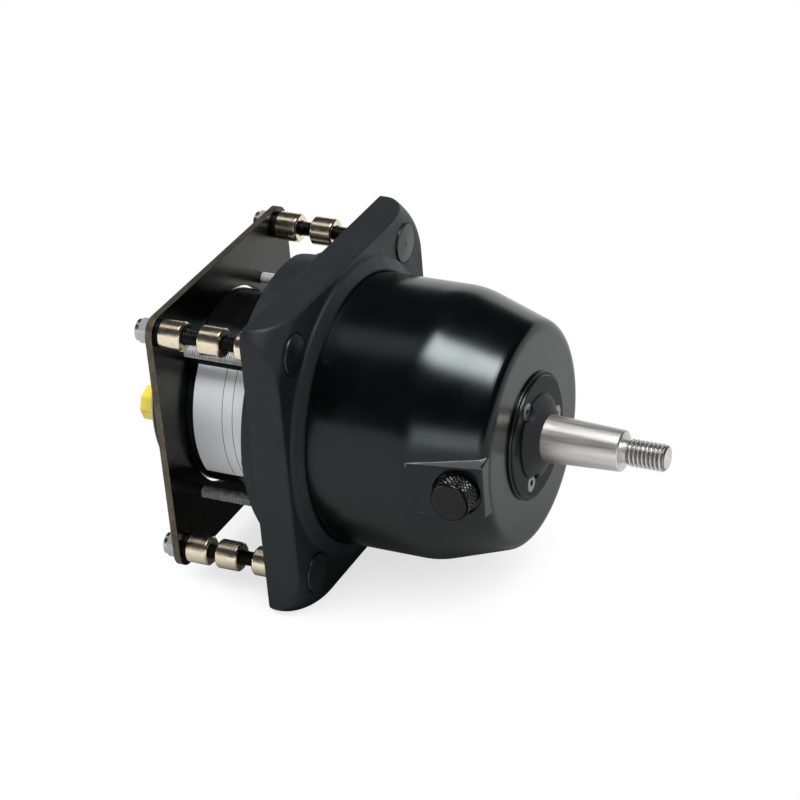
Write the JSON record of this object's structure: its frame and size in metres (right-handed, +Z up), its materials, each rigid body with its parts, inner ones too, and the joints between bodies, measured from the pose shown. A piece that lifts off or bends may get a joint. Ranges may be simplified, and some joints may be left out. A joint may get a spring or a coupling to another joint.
{
  "type": "hydraulic helm pump",
  "caption": "Hydraulic steering helm pump with a tapered nose, square dash flange, filler plug, tapered threaded shaft and a back plate held on bolts with loose spacers.",
  "frame": {"origin": "on the shaft axis, in the plane of the flange's back face, which rests on the dash", "axes": "+X along the shaft towards its threaded end, +Z up as the pump lies in the picture, with the filler plug towards -Y; fitted on a boat the filler plug is on top, a quarter turn about +X away"},
  "size_m": [0.2173, 0.128, 0.128],
  "materials": {
    "housing_paint": "semi-gloss black paint with fine orange peel",
    "casting_paint": "gloss black paint on the barrel and the rear cover",
    "flange_plastic": "matte bluish black moulding",
    "plug_plastic": "gloss black",
    "seal_rubber": "matte black",
    "retainer_metal": "gloss black",
    "plate_steel": "dark bronze passivated sheet, half mirror",
    "spacer_zinc": "yellow zinc with a faint rainbow",
    "black_oxide": "black oxide",
    "bright_zinc": "bright zinc",
    "shaft_steel": "turned stainless",
    "bearing_steel": "ground",
    "bronze": "machined",
    "iron": "machined",
    "nylon": "natural",
    "cap_yellow": "slightly clear yellow moulding",
    "label_silver": "satin, bare"
  },
  "bodies": {
    "pump": {"nose_housing": "housing_paint", "mounting_flange": "flange_plastic", "bolt_caps": "flange_plastic", "corner_bolts": "black_oxide", "rear_spacers": "spacer_zinc", "middle_spacers": "spacer_zinc", "front_spacers": "spacer_zinc", "plate_washers": "black_oxide", "back_plate": "plate_steel", "lock_nuts": "bright_zinc", "nut_inserts": "nylon", "plate_studs": "bright_zinc", "stud_nuts": "bright_zinc", "pump_body": "casting_paint", "rear_cover": "casting_paint", "cover_screws": "black_oxide", "housing_screws": "black_oxide", "body_seal_ring": "seal_rubber", "rating_label": "label_silver", "transport_caps": "cap_yellow", "seal_retainer": "retainer_metal", "retainer_screws": "bright_zinc", "shaft_seal": "seal_rubber", "bearing_outer_ring": "bearing_steel", "bearing_circlip": "black_oxide", "rear_bush": "bronze", "swash_plate": "iron", "swash_screws": "black_oxide", "swash_race": "bearing_steel", "valve_plate": "bronze", "valve_dowels": "bearing_steel", "valve_seats": "bronze", "poppet_spring_upper": "bearing_steel", "poppet_spring_lower": "bearing_steel", "valve_plugs": "bright_zinc"},
    "shaft_group": {"shaft": "shaft_steel", "bearing_inner_ring": "bearing_steel", "shaft_circlip": "black_oxide", "rotor": "iron", "pistons": "bearing_steel", "piston_springs": "bearing_steel"},
    "bearing_ball_set": {"bearing_balls": "bearing_steel"},
    "thrust_ball_set": {"thrust_balls": "bearing_steel"},
    "piston_race_ring": {"piston_race": "bearing_steel"},
    "spool": {"lock_spool": "bearing_steel"},
    "upper_check_valve": {"poppet_upper": "bearing_steel"},
    "lower_check_valve": {"poppet_lower": "bearing_steel"},
    "filler_ring": {"filler_seal": "seal_rubber"},
    "filler_knob": {"filler_plug": "plug_plastic"}
  },
  "joints": [
    {"name": "shaft_turn", "type": "hinge", "parent": "pump", "child": "shaft_group", "pos_m": [0, 0, 0], "axis": [1, 0, 0], "continuous": true},
    {"name": "bearing_balls_roll", "type": "hinge", "parent": "pump", "child": "bearing_ball_set", "pos_m": [0, 0, 0], "axis": [1, 0, 0], "continuous": true},
    {"name": "thrust_balls_roll", "type": "hinge", "parent": "pump", "child": "thrust_ball_set", "pos_m": [0.006, 0, 0], "axis": [0.9903, 0, -0.1392], "continuous": true},
    {"name": "piston_race_turn", "type": "hinge", "parent": "pump", "child": "piston_race_ring", "pos_m": [0.006, 0, 0], "axis": [0.9903, 0, -0.1392], "continuous": true},
    {"name": "spool_shift", "type": "slide", "parent": "pump", "child": "spool", "axis": [0, 0, 1], "range_m": [-0.001, 0.001]},
    {"name": "upper_check_lift", "type": "slide", "parent": "pump", "child": "upper_check_valve", "axis": [0, 0, 1], "range_m": [0, 0.002], "stiffness_N_per_m": 500, "springref_m": -0.004, "deforming": ["poppet_spring_upper"]},
    {"name": "lower_check_lift", "type": "slide", "parent": "pump", "child": "lower_check_valve", "axis": [0, 0, -1], "range_m": [0, 0.002], "stiffness_N_per_m": 500, "springref_m": -0.004, "deforming": ["poppet_spring_lower"]},
    {"name": "filler_rise", "type": "slide", "parent": "pump", "child": "filler_ring", "axis": [0, -1, 0], "range_m": [0, 0.0075]},
    {"name": "filler_unscrew", "type": "hinge", "parent": "filler_ring", "child": "filler_knob", "pos_m": [0.0803, 0, 0.0004], "axis": [0, -1, 0], "range_deg": [0, 1800]}
  ],
  "couplings": [
    {"joint": "bearing_balls_roll", "follows": "shaft_turn", "ratio": 0.39677},
    {"joint": "thrust_balls_roll", "follows": "shaft_turn", "ratio": 0.5},
    {"joint": "piston_race_turn", "follows": "shaft_turn", "ratio": 1},
    {"joint": "filler_rise", "follows": "filler_unscrew", "m_per_rad": 0.00023873}
  ]
}
